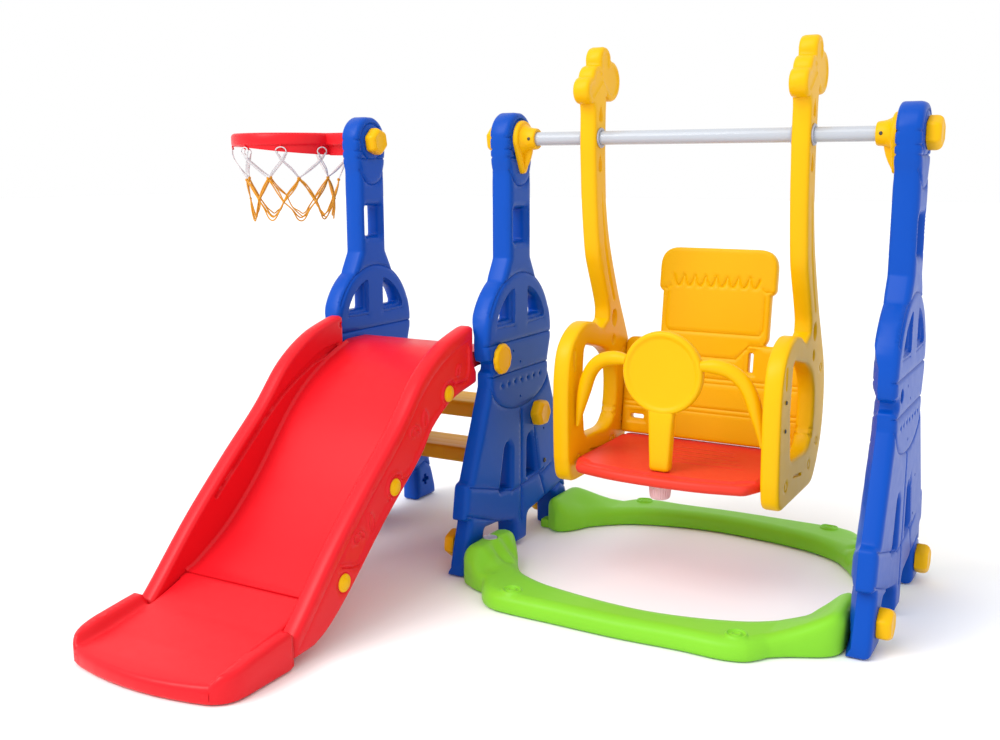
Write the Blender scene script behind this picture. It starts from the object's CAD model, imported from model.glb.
import math
import bmesh
import bpy
import numpy as np
from mathutils import Matrix, Vector, geometry


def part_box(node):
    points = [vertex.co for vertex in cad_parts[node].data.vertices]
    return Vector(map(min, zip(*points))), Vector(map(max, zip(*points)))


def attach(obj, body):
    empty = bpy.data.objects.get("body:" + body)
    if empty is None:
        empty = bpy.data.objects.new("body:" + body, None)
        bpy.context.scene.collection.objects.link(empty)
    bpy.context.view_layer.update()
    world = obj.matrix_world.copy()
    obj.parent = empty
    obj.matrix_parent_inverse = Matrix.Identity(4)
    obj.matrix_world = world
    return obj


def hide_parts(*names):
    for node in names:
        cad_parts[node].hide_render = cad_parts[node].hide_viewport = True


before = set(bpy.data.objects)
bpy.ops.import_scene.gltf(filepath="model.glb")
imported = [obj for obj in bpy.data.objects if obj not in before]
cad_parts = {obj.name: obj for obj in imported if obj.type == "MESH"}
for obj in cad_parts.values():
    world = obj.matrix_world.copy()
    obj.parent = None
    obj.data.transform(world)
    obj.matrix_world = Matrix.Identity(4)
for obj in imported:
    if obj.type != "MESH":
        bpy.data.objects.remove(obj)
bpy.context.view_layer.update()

# ---------------------------------------------------------------- where it stands
# The playset stands on a plain white floor, seen from in front of the swing's side, a little above
# its crossbar. Places are given in millimetres from the foot of the middle panel's swing-side face.

middle_low, middle_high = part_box("panel_middle")
middle_face = middle_high.x
middle_line = (middle_low.y + middle_high.y) / 2


def at(x, y, z):
    """A place given from the middle panel's face, mid-line and floor, as metres in the frame."""
    return Vector((middle_face + x / 1000, middle_line + y / 1000, z / 1000))


scene = bpy.context.scene
scene.view_settings.view_transform = "Standard"

camera = bpy.data.objects.new("camera", bpy.data.cameras.new("camera"))
scene.collection.objects.link(camera)
scene.camera = camera
camera.matrix_world = (
    Matrix.Translation(at(1352.6, -2479.0, 990.8))
    @ Matrix.Rotation(math.radians(29.3), 4, "Z")
    @ Matrix.Rotation(math.radians(90 - 10.5), 4, "X")
    @ Matrix.Rotation(math.radians(-0.13), 4, "Z")
)
camera.data.sensor_width = 36
camera.data.lens = 39.8
camera.data.shift_x = -0.0086
camera.data.shift_y = 0.0019

floor_mesh = bpy.data.meshes.new("floor")
floor_mesh.from_pydata([(-30, -30, 0), (30, -30, 0), (30, 30, 0), (-30, 30, 0)], [], [(0, 1, 2, 3)])
floor = bpy.data.objects.new("floor", floor_mesh)
floor.location.z = -0.002
scene.collection.objects.link(floor)
floor_paint = bpy.data.materials.new("floor_paint")
floor_paint.use_nodes = True
floor_shader = floor_paint.node_tree.nodes["Principled BSDF"]
floor_shader.inputs["Base Color"].default_value = (0.95, 0.95, 0.95, 1)
floor_shader.inputs["Roughness"].default_value = 0.9
floor_shader.inputs["Specular IOR Level"].default_value = 0.1
floor_mesh.materials.append(floor_paint)

sky = bpy.data.worlds.new("studio")
sky.use_nodes = True
sky.node_tree.nodes["Background"].inputs["Color"].default_value = (1, 1, 1, 1)
sky.node_tree.nodes["Background"].inputs["Strength"].default_value = 1.0
scene.world = sky


def soft_light(name, kind, place, target, size, power):
    """A soft light at a place, turned to a target. Its size is in metres, or in radians for a sun."""
    light = bpy.data.objects.new(name, bpy.data.lights.new(name, kind))
    if kind == "SUN":
        light.data.angle = size
    else:
        light.data.size = size
    light.data.energy = power
    light.location = at(*place)
    light.rotation_euler = (at(*target) - at(*place)).to_track_quat("-Z", "Y").to_euler()
    scene.collection.objects.link(light)


soft_light("key_light", "SUN", (-900, -2200, 3200), (0, 0, 400), 0.7, 1.15)
soft_light("gloss_light", "AREA", (-1500, -3000, 2900), (0, -200, 500), 1.6, 40)

# ---------------------------------------------------------------- panels
# Three copies of one hollow blue polyethylene moulding with two splayed feet, a waisted neck and a
# round head. They are blow moulded, so every edge is round, and the lines on them are pressed in.

PANEL_DEPTH = 56
PANEL_BACKS = {"panel_outer": -515, "panel_middle": -56, "panel_swing": 908}
HEAD = (0, 1059)
LOCK_BOLT = (-110, 519)


def rounded(corners, steps=5):
    """A closed outline of corners (u, v) or (u, v, cut). One with a cut is rounded that far each way."""
    loop = []
    for i, corner in enumerate(corners):
        here = np.array(corner[:2], float)
        if len(corner) < 3:
            loop.append(here)
            continue
        before = np.array(corners[i - 1][:2], float) - here
        after = np.array(corners[(i + 1) % len(corners)][:2], float) - here
        enter = here + before * corner[2] / np.linalg.norm(before)
        leave = here + after * corner[2] / np.linalg.norm(after)
        for t in np.linspace(0, 1, steps + 1):
            loop.append((1 - t) ** 2 * enter + 2 * t * (1 - t) * here + t * t * leave)
    return np.array(loop)


def arc(centre, radius, start, end, steps):
    """Points along an arc, in degrees. The radius is one number, or two for an ellipse."""
    across, up = radius if isinstance(radius, tuple) else (radius, radius)
    angles = np.radians(np.linspace(start, end, steps + 1))
    return [(centre[0] + across * math.cos(a), centre[1] + up * math.sin(a)) for a in angles]


def circle(centre, radius, sides=24):
    """A whole circle's outline."""
    return np.array(arc(centre, radius, 0, 360 - 360 / sides, sides - 1))


def ring_line(centre, radius, sides=24):
    """A circle as a line that ends where it starts."""
    return np.array(arc(centre, radius, 0, 360, sides))


def curve(places, steps):
    """Evenly spaced points along a smooth curve through a few places."""
    places = np.array(places, float)
    padded = np.vstack([places[0], places, places[-1]])
    t = np.linspace(0, 1, 20, endpoint=False)[:, None]
    fine = [
        0.5 * (2 * b + (c - a) * t + (2 * a - 5 * b + 4 * c - d) * t**2 + (3 * b - a - 3 * c + d) * t**3)
        for a, b, c, d in zip(padded, padded[1:], padded[2:], padded[3:])
    ]
    fine = np.vstack(fine + [places[-1:]])
    along = np.append(0, np.cumsum(np.linalg.norm(np.diff(fine, axis=0), axis=1)))
    even = np.linspace(0, along[-1], steps + 1)
    return np.column_stack([np.interp(even, along, fine[:, k]) for k in range(fine.shape[1])])


def mirrored(corners):
    """The same corners on the other side of the mid-line, in the order that keeps an outline's turn."""
    return [(-corner[0], *corner[1:]) for corner in reversed(corners)]


def away(points, line):
    """How far each point is from a line of straight stretches."""
    nearest = np.full(len(points), 1e9)
    for a, b in zip(line[:-1], line[1:]):
        along = b - a
        length = along @ along
        if length > 1e-9:
            t = np.clip(((points - a) @ along) / length, 0, 1)
            nearest = np.minimum(nearest, np.linalg.norm(points - a - t[:, None] * along, axis=1))
    return nearest


def within(points, loop):
    """Which points lie inside a closed outline."""
    odd = np.zeros(len(points), bool)
    for (ax, ay), (bx, by) in zip(loop, np.roll(loop, -1, axis=0)):
        if ay != by:
            crosses = (ay > points[:, 1]) != (by > points[:, 1])
            odd ^= crosses & (points[:, 0] < (bx - ax) * (points[:, 1] - ay) / (by - ay) + ax)
    return odd


def closed(loop):
    """A closed outline as a line that ends where it starts."""
    return np.vstack([loop, loop[:1]])


def spaced(line, spacing):
    """A line with more points, so that none are farther apart than the spacing."""
    points = []
    for a, b in zip(line[:-1], line[1:]):
        count = max(1, math.ceil(np.linalg.norm(b - a) / spacing))
        points.extend(a + (b - a) * i / count for i in range(count))
    return np.array(points + [line[-1]])


def beside(line, offset, spacing):
    """Points that follow a line at a distance to its left."""
    line = spaced(np.array(line, float), spacing)
    heading = np.gradient(line, axis=0)
    heading /= np.maximum(np.linalg.norm(heading, axis=1), 1e-9)[:, None]
    return line + offset * np.column_stack([-heading[:, 1], heading[:, 0]])


def groove(points, line, width, depth):
    """How far a round groove along a line lowers each point. A negative depth makes a raised bead."""
    across = np.clip(away(points, np.array(line, float)) / width, 0, 1)
    return depth * (1 - across**2) ** 2


def pocket(points, loop, slope, depth):
    """How far a flat-bottomed pocket with sloping walls lowers each point."""
    inward = np.where(within(points, loop), away(points, closed(np.array(loop, float))), 0)
    t = np.clip(inward / slope, 0, 1)
    return depth * t * t * (3 - 2 * t)


def roundover(from_edges, radii):
    """How far the edges fall away at each point, from its distance to each edge and each edge's radius."""
    drop = 0
    for distance, radius in zip(from_edges, radii):
        left = np.clip(radius - distance, 0, radius)
        drop = np.maximum(drop, radius - np.sqrt(radius**2 - left**2))
    return drop


def turned_left(loop):
    """The outline, run anticlockwise."""
    following = np.roll(loop, -1, axis=0)
    area = np.sum(loop[:, 0] * following[:, 1] - following[:, 0] * loop[:, 1])
    return loop if area > 0 else loop[::-1]


def mesh_object(name, points, faces, sharp=48):
    """A shaded object of points in millimetres, already in place."""
    mesh = bpy.data.meshes.new(name)
    mesh.from_pydata([at(*point) for point in points], [], [list(map(int, face)) for face in faces])
    shell = bmesh.new()
    shell.from_mesh(mesh)
    bmesh.ops.recalc_face_normals(shell, faces=shell.faces)
    shell.to_mesh(mesh)
    shell.free()
    mesh.polygons.foreach_set("use_smooth", [True] * len(mesh.polygons))
    mesh.set_sharp_from_angle(angle=math.radians(sharp))
    made = bpy.data.objects.new(name, mesh)
    scene.collection.objects.link(made)
    return made


def moulding(name, outline, holes, lay, top, underside, radii, lines=(), spacing=9, sharp=48):
    """A thick sheet cut to an outline with holes, with rounded edges. top and underside give each face's
    height, from the points and how far the rounding lowers them. radii has a pair for the outline and
    for each hole, or one pair for all. lay puts (u, v, height) in place. The mesh has rows of points
    round its edges, and beside each (line, width) where a face bends."""
    loops = [spaced(closed(turned_left(np.array(outline, float))), spacing)[:-1]]
    loops += [spaced(closed(turned_left(np.array(hole, float))[::-1]), spacing)[:-1] for hole in holes]
    edges = [closed(loop) for loop in loops]
    if isinstance(radii, tuple):
        radii = [radii] * len(loops)

    def material(points):
        solid = within(points, loops[0])
        for hole in loops[1:]:
            solid &= ~within(points, hole)
        return solid

    def from_edges(points):
        return np.array([away(points, edge) for edge in edges])

    kept = np.vstack(loops)
    near = []
    for edge, pair in zip(edges, radii):
        for radius in sorted(set(pair)):
            for inset in (0.06, 0.25, 0.55, 0.98):
                ring = beside(edge, inset * radius, spacing * 2)[:-1]
                near.append(ring[away(ring, edge) > 0.9 * inset * radius])
    for line, width in lines:
        for offset in (0, -0.5, 0.5, -1, 1):
            near.append(beside(line, offset * width, min(spacing * 0.7, max(width * 1.3, 3))))
    low, high = kept.min(0), kept.max(0)
    across, up = np.meshgrid(
        np.arange(low[0], high[0], spacing), np.arange(low[1], high[1], spacing * 0.866)
    )
    across[::2] += spacing / 2
    grid = np.column_stack([across.ravel(), up.ravel()])
    clear = from_edges(grid) - np.array([max(pair) for pair in radii])[:, None]
    near.append(grid[clear.min(axis=0) > spacing * 0.3])

    cells = {}

    def crowded(point, gap):
        column, row = int(point[0] // 8), int(point[1] // 8)
        around = (cells.get((column + i, row + j), ()) for i in (-1, 0, 1) for j in (-1, 0, 1))
        return any(
            (point[0] - q[0]) ** 2 + (point[1] - q[1]) ** 2 < gap * gap for cell in around for q in cell
        )

    def keep(point):
        cells.setdefault((int(point[0] // 8), int(point[1] // 8)), []).append(point)

    for point in kept:
        keep(point)
    extra = []
    for row, points in enumerate(near):
        gap = spacing * 0.55 if row == len(near) - 1 else 0.9
        points = points[material(points) & (from_edges(points).min(axis=0) > 0.4)]
        for point in points:
            if not crowded(point, gap):
                keep(point)
                extra.append(point)
    points = np.vstack([kept, np.array(extra)])

    ends = []
    start = 0
    for loop in loops:
        ends += [(start + i, start + (i + 1) % len(loop)) for i in range(len(loop))]
        start += len(loop)
    flat = [Vector(point) for point in points]
    _, _, triangles, sources, _, _ = geometry.delaunay_2d_cdt(flat, ends, [], 0, 1e-4)
    triangles = np.array([[sources[i][0] for i in t] for t in triangles if all(sources[i] for i in t)])
    triangles = triangles[material(points[triangles].mean(axis=1))]
    a, b, c = (points[triangles[:, k]] for k in range(3))
    turn = (b[:, 0] - a[:, 0]) * (c[:, 1] - a[:, 1]) - (b[:, 1] - a[:, 1]) * (c[:, 0] - a[:, 0])
    triangles[turn < 0] = triangles[turn < 0][:, ::-1]
    triangles = triangles[np.abs(turn) > 1e-6]

    insets = from_edges(points)
    insets[insets < 1e-6] = 0
    count = len(points)
    over, under = (roundover(insets, [pair[side] for pair in radii]) for side in (0, 1))
    heights = np.append(top(points, over), underside(points, under))
    places = [lay(u, v, h) for (u, v), h in zip(np.vstack([points, points]), heights)]
    faces = [tuple(t) for t in triangles]
    faces += [(t[2] + count, t[1] + count, t[0] + count) for t in triangles]
    faces += [(a + count, b + count, b, a) for a, b in ends]
    return mesh_object(name, places, faces, sharp)


def plastic(name, colour, roughness=0.36, mottle=0.05, grain=0.10, gleam=0.16):
    """Moulded polyethylene. Its colour is a little uneven, as the wall's thickness is, and its skin has
    a fine grain and patches that are more or less polished."""
    made = bpy.data.materials.new(name)
    made.use_nodes = True
    nodes, links = made.node_tree.nodes, made.node_tree.links
    shader = nodes["Principled BSDF"]
    shader.inputs["IOR"].default_value = 1.5
    shader.inputs["Specular IOR Level"].default_value = gleam
    place = nodes.new("ShaderNodeTexCoord")

    clouds = nodes.new("ShaderNodeTexNoise")
    clouds.inputs["Scale"].default_value = 5.5
    clouds.inputs["Detail"].default_value = 4
    links.new(place.outputs["Object"], clouds.inputs["Vector"])
    tint = nodes.new("ShaderNodeMix")
    tint.data_type = "RGBA"
    tint.inputs["A"].default_value = (*[c * (1 - mottle) for c in colour], 1)
    tint.inputs["B"].default_value = (*[min(1, c * (1 + mottle)) for c in colour], 1)
    links.new(clouds.outputs["Fac"], tint.inputs["Factor"])
    links.new(tint.outputs["Result"], shader.inputs["Base Color"])

    polish = nodes.new("ShaderNodeTexNoise")
    polish.inputs["Scale"].default_value = 38
    polish.inputs["Detail"].default_value = 6
    links.new(place.outputs["Object"], polish.inputs["Vector"])
    gloss = nodes.new("ShaderNodeMapRange")
    gloss.inputs["To Min"].default_value = roughness - 0.05
    gloss.inputs["To Max"].default_value = roughness + 0.07
    links.new(polish.outputs["Fac"], gloss.inputs["Value"])
    links.new(gloss.outputs["Result"], shader.inputs["Roughness"])

    skin = nodes.new("ShaderNodeTexNoise")
    skin.inputs["Scale"].default_value = 900
    skin.inputs["Detail"].default_value = 2
    links.new(place.outputs["Object"], skin.inputs["Vector"])
    bump = nodes.new("ShaderNodeBump")
    bump.inputs["Strength"].default_value = grain
    bump.inputs["Distance"].default_value = 0.0004
    links.new(skin.outputs["Fac"], bump.inputs["Height"])
    links.new(bump.outputs["Normal"], shader.inputs["Normal"])
    return made


def finish_piece(piece, body, slot, material, *nodes):
    """Gives a piece its finish and its body, and lets it stand for its CAD nodes."""
    piece.data.materials.append(material)
    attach(piece, body)
    if nodes:
        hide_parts(*nodes)


blue = plastic("blue_polyethylene", (0.0, 0.066, 0.43), 0.34)

panel_side = [
    (190, 0, 8), (291, 0, 10), (291, 26, 8), (257, 134), (282, 142, 9), (268, 226, 9), (248, 232, 5),
    (161, 442), (157, 452),
]
shoulder = [(157, 487)]
notch = [(157, 487, 7), (141, 494, 8), (141, 511, 8), (167, 518, 6)]
panel_top = [
    *arc((0, 560), 173.5, -8, 60, 14), (56, 765, 5), (56, 978, 14), (64, 1014), *arc(HEAD, 66, -6, 78, 12),
]
feet_gaps = [
    (-190, 97, 14), (-120, 92), (-36, 74, 14), (-32, 8, 10), (36, 8, 10), (40, 76, 14), (120, 88),
    (190, 97, 14),
]
panel_outline = rounded(
    [*panel_side, *shoulder, *panel_top, *mirrored([*panel_side, *notch, *panel_top]), *feet_gaps]
)
dome_window = [(46, 612, 6), (112, 612, 8), (94, 652, 16), (46, 680, 10)]
panel_windows = [
    rounded([(-31, 806, 9), (31, 806, 9), (31, 888, 9), (-31, 888, 9)]),
    rounded(dome_window),
    rounded(mirrored(dome_window)),
    rounded([(-112, 170, 8), (-50, 170, 8), (-48, 275, 8), (-66, 296, 8), (-84, 285, 8)]),
    rounded([(34, 176, 8), (92, 180, 8), (70, 276, 8), (54, 296, 8), (36, 284, 8)]),
]
dome_pocket = [(33, 600, 6), (127, 600, 10), *arc((0, 560), 136, 24, 70, 6), (33, 692, 12)]
panel_pockets = [rounded(dome_pocket), rounded(mirrored(dome_pocket))]
foot_crosses = []
for y, z in ((-222, 60), (230, 58)):
    cross = [
        (6, 6), (6, 17), (-6, 17), (-6, 6), (-17, 6), (-17, -6), (-6, -6), (-6, -17), (6, -17), (6, -6),
        (17, -6), (17, 6)
    ]
    foot_crosses.append(np.array([(y + u, z + v) for u, v in cross], float))
dome_recess = rounded([(136, 590, 20), *arc((0, 560), 150, 14, 166, 16), (-136, 590, 20)])
panel_radii = [(15, 9), (19, 21), (9, 12), (9, 12), (12, 24), (12, 24)]
panel_grooves = [
    (arc(HEAD, 48, -68, 248, 28), 4.0, 3.6),
    ([(-64, 1014), (64, 1014)], 3.6, 3.2),
    ([(-66, 1062), (-46, 1062)], 4.0, 3.4),
    ([(-64, 1034), (-44, 1034)], 4.0, 3.4),
    ([(46, 1062), (66, 1062)], 4.0, 3.4),
    ([(-52, 984), *arc((0, 980), (47, 36), 190, 350, 12), (52, 984)], 3.8, 3.4),
    (arc((0, 560), 166, 24, 156, 28), 3.6, 3.0),
    ([(-172, 555), (172, 555)], 3.4, 3.4),
    ([(-158, 475), (158, 475)], 3.4, 3.4),
    (arc((0, 455), (152, 79), 186, 354, 24), 3.6, 3.2),
    ([(0, 373), (0, 70)], 3.4, 3.2),
    ([(72, 305), (105, 167), (143, 92)], 3.2, 3.0),
    ([(119, 168), (169, 182)], 3.0, 2.6),
    ([(152, 85), (227, 113)], 3.0, 2.6),
    ([(-257, 221), (-61, 164), (-43, 158), (96, 171), (125, 180)], 3.6, 3.4),
    ([(-272, 152), (-43, 69)], 3.6, 3.4),
    ([(137, 94), (228, 114), (287, 79)], 3.4, 3.0),
    ([(36, 592), (124, 595)], 2.6, 1.6),
    ([(-124, 595), (-36, 592)], 2.6, 1.6),
]
panel_grooves = [(np.array(line, float), width, depth) for line, width, depth in panel_grooves]
panel_dimples = [(y, 448, 5.5, 5) for y in np.linspace(-102, 101, 7)]
panel_dimples += [(y, z, 4, 8) for y, z in ((-6, 405), (-43, 529), (-6, 496), (126, 292), (127, 199))]
panel_rows = [(line, width) for line, width, _ in panel_grooves]
panel_rows += [(ring_line((y, z), size * 0.6, 10), size * 0.4) for y, z, size, _ in panel_dimples]
panel_rows += [(closed(loop), 4) for loop in [*panel_pockets, dome_recess]]
panel_rows += [(closed(loop), 2.4) for loop in foot_crosses]


def pressed(points):
    """How far the panel's pattern is pressed into its face: lines, the dished middle, pockets, dimples."""
    depth = np.zeros(len(points))
    for line, width, deep in panel_grooves:
        depth = np.maximum(depth, groove(points, line, width, deep))
        depth += groove(points, line, 15, 0.9)
    for loop in panel_pockets:
        depth += pocket(points, loop, 4, 6)
    for loop in foot_crosses:
        depth += pocket(points, loop, 2.5, 12)
    for y, z, size, deep in panel_dimples:
        t = np.clip(np.hypot(points[:, 0] - y, points[:, 1] - z) / size, 0, 1)
        depth += deep * (1 - t**2) ** 1.5
    return depth


def panel_face(points, drop):
    return PANEL_DEPTH - drop - pressed(points)


def panel_rear(points, drop):
    """The far face. It is sunk behind the dome's windows, and its edges are planed off below the dome."""
    planed = np.clip((640 - points[:, 1]) / 60, 0, 1) * (np.abs(points[:, 0]) > 105)
    across = np.clip(1 - away(points, panel_flanks) / 34, 0, 1)
    sunk = drop + np.maximum(pressed(points), pocket(points, dome_recess, 6, 11))
    return np.maximum(sunk, planed * 17 * across**1.3)


flank = turned_left(panel_outline)
panel_flanks = flank[(flank[:, 1] > 20) & (np.abs(flank[:, 0]) > 130)]
panel_flanks = np.vstack([panel_flanks[panel_flanks[:, 0] > 0], panel_flanks[panel_flanks[:, 0] < 0]])

def panel_shell(name, back, bolt_holes):
    return moulding(
        name + "_shell", panel_outline, panel_windows + bolt_holes,
        lambda u, v, h: (back + h, u, v), panel_face, panel_rear,
        panel_radii + [(4, 4)] * len(bolt_holes), panel_rows,
    )


def copied(piece, name, move):
    """Another moulding from the same mould, moved from the first one's place."""
    twin = bpy.data.objects.new(name, piece.data.copy())
    twin.data.name = name
    twin.data.transform(move)
    scene.collection.objects.link(twin)
    return twin


outer_panel = panel_shell("panel_outer", PANEL_BACKS["panel_outer"], [])
step_across = (PANEL_BACKS["panel_middle"] - PANEL_BACKS["panel_outer"]) / 1000
middle_panel = copied(outer_panel, "panel_middle_shell", Matrix.Translation((step_across, 0, 0)))
swing_panel = panel_shell("panel_swing", PANEL_BACKS["panel_swing"], [circle(LOCK_BOLT, 14.3, 20)])
finish_piece(outer_panel, "frame", "blue_plastic", blue, "panel_outer")
finish_piece(middle_panel, "frame", "blue_plastic", blue, "panel_middle")
finish_piece(swing_panel, "frame", "blue_plastic", blue, "panel_swing")

# ---------------------------------------------------------------- knobs and screws
# Yellow hex-headed bolts, moulded solid, hold the panels, the upper step, the crossbar, the hoop and
# the floor rails. A steel screw holds each end of the lower step. All are turned tight by hand.

UPPER_STEP_BOLT = (82, 345)
LOWER_STEP_SCREW = (130, 201)
FRONT_FOOT_BOLT = (-222, 60)
REAR_FOOT_BOLT = (230, 58)
X_AXIS, Y_AXIS, Z_AXIS = np.eye(3)
TOUCH = 0.4  # the gap that pieces keep where they touch


def loft(name, rings, around=False, sharp=48):
    """A skin over closed rings of points. Its ends are capped, or meet each other if around."""
    rings = np.array(rings, float)
    count, sides = rings.shape[:2]
    faces = []
    for i in range(count if around else count - 1):
        j = (i + 1) % count
        for k in range(sides):
            m = (k + 1) % sides
            faces.append((i * sides + k, i * sides + m, j * sides + m, j * sides + k))
    if not around:
        faces.append(tuple(reversed(range(sides))))
        faces.append(tuple(range((count - 1) * sides, count * sides)))
    return mesh_object(name, rings.reshape(-1, 3), faces, sharp)


def turned(name, profile, place, axis, sides=48, shape=None, around=False, sharp=40):
    """A profile of (radius, distance) turned about an axis from a place. shape gives the share of the
    radius that the piece reaches at an angle."""
    axis = np.array(axis, float)
    upward = Y_AXIS if abs(axis[2]) > 0.9 else Z_AXIS
    across = np.cross(upward, axis)
    rings = []
    for radius, distance in profile:
        ring = []
        for angle in np.linspace(0, 2 * math.pi, sides, endpoint=False):
            reach = radius * (shape(angle, radius) if shape else 1)
            ring.append(
                place + axis * distance + reach * (math.cos(angle) * across + math.sin(angle) * upward)
            )
        rings.append(ring)
    return loft(name, rings, around, sharp)


def hexagon(turn):
    """The reach of a hexagon with softened corners, one of them up when turn is 30 degrees."""

    def reach(angle, radius):
        flat = math.cos(math.pi / 6) / math.cos((angle + math.radians(turn)) % (math.pi / 3) - math.pi / 6)
        return (flat**-30 + 0.975**-30) ** (-1 / 30)

    return reach


def cross_recess(angle, radius):
    """The reach of a driver's cross inside a screw's head, and of the round head outside it."""
    return 1 if radius > 2.9 else 0.35 + 0.65 * abs(math.cos(2 * angle)) ** 3


yellow = plastic("yellow_polyethylene", (0.83, 0.45, 0.0), 0.36)
steel = bpy.data.materials.new("dark_zinc_steel")
steel.use_nodes = True
steel_shader = steel.node_tree.nodes["Principled BSDF"]
steel_shader.inputs["Metallic"].default_value = 0.9
steel_grime = steel.node_tree.nodes.new("ShaderNodeTexNoise")
steel_grime.inputs["Scale"].default_value = 260
steel_tone = steel.node_tree.nodes.new("ShaderNodeValToRGB")
steel_tone.color_ramp.elements[0].color = (0.035, 0.032, 0.03, 1)
steel_tone.color_ramp.elements[1].color = (0.16, 0.15, 0.145, 1)
steel_wear = steel.node_tree.nodes.new("ShaderNodeMapRange")
steel_wear.inputs["To Min"].default_value = 0.3
steel_wear.inputs["To Max"].default_value = 0.55
steel.node_tree.links.new(steel_grime.outputs["Fac"], steel_tone.inputs["Fac"])
steel.node_tree.links.new(steel_tone.outputs["Color"], steel_shader.inputs["Base Color"])
steel.node_tree.links.new(steel_grime.outputs["Fac"], steel_wear.inputs["Value"])
steel.node_tree.links.new(steel_wear.outputs["Result"], steel_shader.inputs["Roughness"])

knob_profile = [
    (30, 0), (36, 0.3), (37.5, 2.5), (37.5, 17), (36.6, 21.5), (34.2, 25.5), (31, 28.4), (27.5, 29.8),
    (26, 30),
    (24.5, 29.6), (23, 28.8), (3, 28.6),
]
knobs = [
    ("knob_step_outer", -515, -1, UPPER_STEP_BOLT, 12),
    ("knob_step_middle", 0, 1, UPPER_STEP_BOLT, 4),
    ("knob_head_outer", -459, 1, HEAD, 18),
    ("knob_head_middle", -56, -1, HEAD, 40),
    ("knob_head_swing", 964, 1, HEAD, 30),
    ("knob_front_foot_middle", -56, -1, FRONT_FOOT_BOLT, 22),
    ("knob_rear_foot_middle", -56, -1, REAR_FOOT_BOLT, 10),
    ("knob_front_foot_swing", 964, 1, FRONT_FOOT_BOLT, 24),
    ("knob_rear_foot_swing", 964, 1, REAR_FOOT_BOLT, 34),
]
for name, face, side, (y, z), turn in knobs:
    knob = turned(
        name + "_head", knob_profile, np.array([face + side * TOUCH, y, z]), side * X_AXIS, 72, hexagon(turn)
    )
    finish_piece(knob, "frame", "yellow_plastic", yellow, name)

screw_profile = [(6.4, 0), (6.6, 0.8), (6.2, 2.2), (5, 3.3), (3.6, 3.8), (2.8, 3.8), (2.6, 2.4), (0.6, 1.8)]


def screw_head(name, body, place, axis, size=1.0):
    """A round-headed screw with a driver's cross, seen from outside."""
    profile = [(radius * size, distance * size) for radius, distance in screw_profile]
    head = turned(name + "_head", profile, np.array(place, float), axis, 32, cross_recess)
    finish_piece(head, body, "dark_screws", steel, name)


screw_head("screw_step_outer", "frame", (-515 - TOUCH, *LOWER_STEP_SCREW), -X_AXIS)
screw_head("screw_step_middle", "frame", (TOUCH, *LOWER_STEP_SCREW), X_AXIS)

# ---------------------------------------------------------------- steps
# Two hollow yellow bars, blow moulded with soft edges, stand between the outer and middle panels.
# Their duller yellow comes from a thinner wall. Three lines are pressed into each tread.

STEP_ENDS = (-458.6, -56.4)
LONG_EDGE = 14  # how far in from a long edge the rounding reaches
# One line runs along both long edges and turns back far away. It leaves the front edge's right end at a
# slant, so the rounding reaches about 6 mm further round that corner, out of sight against the panel.
FAR_AWAY = 1e4


def step_bar(name, front, back, low, high):
    """A bar with lines pressed along its tread."""
    lines = [
        np.array([(STEP_ENDS[0] + 40, y), (STEP_ENDS[1] - 40, y)])
        for y in np.linspace(front + 35, back - 35, 3)
    ]
    outline = rounded(
        [(STEP_ENDS[0], front), (STEP_ENDS[1], front), (STEP_ENDS[1], back), (STEP_ENDS[0], back)]
    )

    edge_line = np.array([
        (STEP_ENDS[0], front), (STEP_ENDS[1], front), (FAR_AWAY, FAR_AWAY), (FAR_AWAY, 2 * FAR_AWAY),
        (STEP_ENDS[1], back), (STEP_ENDS[0], back),
    ])

    def rounding(points, drop):
        """The drop along the two long edges. The ends butt against the panels and stay nearly square."""
        return drop * (away(points, edge_line) < LONG_EDGE)

    def tread(points, drop):
        pressed_lines = sum(groove(points, line, 4, 0.5) for line in lines)
        return high - low - rounding(points, drop) - pressed_lines

    return moulding(
        name, outline, [], lambda u, v, h: (u, v, low + h), tread, rounding, (10, 10),
        [(line, 3) for line in lines],
    )


step_yellow = plastic("step_polyethylene", (0.76, 0.37, 0.004), 0.42)
for name, sizes in (("step_upper", (18, 150, 322, 366)), ("step_lower", (60, 202, 180, 222))):
    finish_piece(step_bar(name + "_bar", *sizes), "frame", "yellow_plastic", step_yellow, name)

# ---------------------------------------------------------------- crossbar
# A painted steel tube in two yellow teardrop sockets, one on the middle panel and one on the swing
# panel. Each socket has a rib down to its tip, and a screw through its neck into the tube.

TUBE_RADIUS = 16.5
TUBE_ENDS = (12, 896)


def joined(name, *parts):
    """Several parts that are moulded as one piece."""
    whole = parts[0]
    with bpy.context.temp_override(active_object=whole, selected_editable_objects=list(parts)):
        bpy.ops.object.join()
    whole.name = whole.data.name = name
    return whole


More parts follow.
